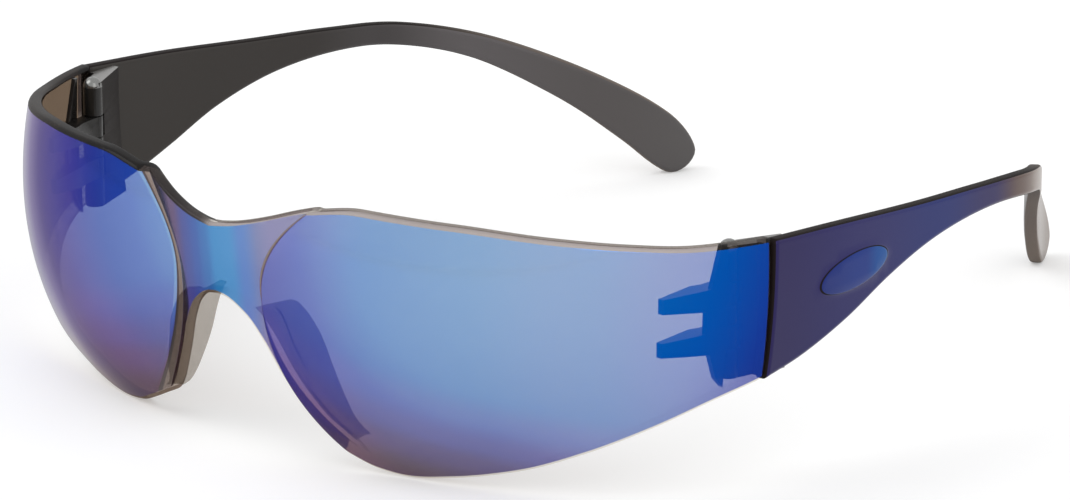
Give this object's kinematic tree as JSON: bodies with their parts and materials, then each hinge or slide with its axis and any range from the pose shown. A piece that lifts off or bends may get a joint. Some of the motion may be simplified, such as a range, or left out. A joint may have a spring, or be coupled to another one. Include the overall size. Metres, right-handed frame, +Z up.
{
  "type": "safety glasses",
  "caption": "Wraparound safety glasses: one-piece mirrored polycarbonate lens with a nose bridge, nose pieces, and slim curved temples that fold inwards on pin hinges.",
  "frame": {"origin": "centre of the bounding box's bottom, on the surface the open glasses stand on, in the plane of symmetry", "axes": "+Z up; the wearer looks along -Y, the temples run back along +Y; +X is the wearer's left"},
  "size_m": [0.1474, 0.1662, 0.044],
  "materials": {
    "lens": "grey-tinted polycarbonate with a blue mirror coat on the front",
    "nose_piece": "translucent warm grey, lightly frosted",
    "hinge_bracket": "glossy dark smoke",
    "hinge_pin": "plain steel",
    "temple": "smoke polycarbonate, blue-purple mirror coat outside that fades at the tips"
  },
  "bodies": {
    "front": {"lens": "lens", "nose_piece_left": "nose_piece", "nose_piece_right": "nose_piece", "hinge_bracket_left": "hinge_bracket", "hinge_bracket_right": "hinge_bracket", "hinge_pin_left": "hinge_pin", "hinge_pin_right": "hinge_pin"},
    "temple_left": {"temple_left": "temple"},
    "temple_right": {"temple_right": "temple"}
  },
  "joints": [
    {"name": "fold_left", "type": "hinge", "parent": "front", "child": "temple_left", "pos_m": [0.0672, -0.0391, 0.0281], "axis": [0, 0, 1], "range_deg": [0, 84]},
    {"name": "fold_right", "type": "hinge", "parent": "front", "child": "temple_right", "pos_m": [-0.0672, -0.0391, 0.0281], "axis": [0, 0, -1], "range_deg": [0, 72]}
  ]
}
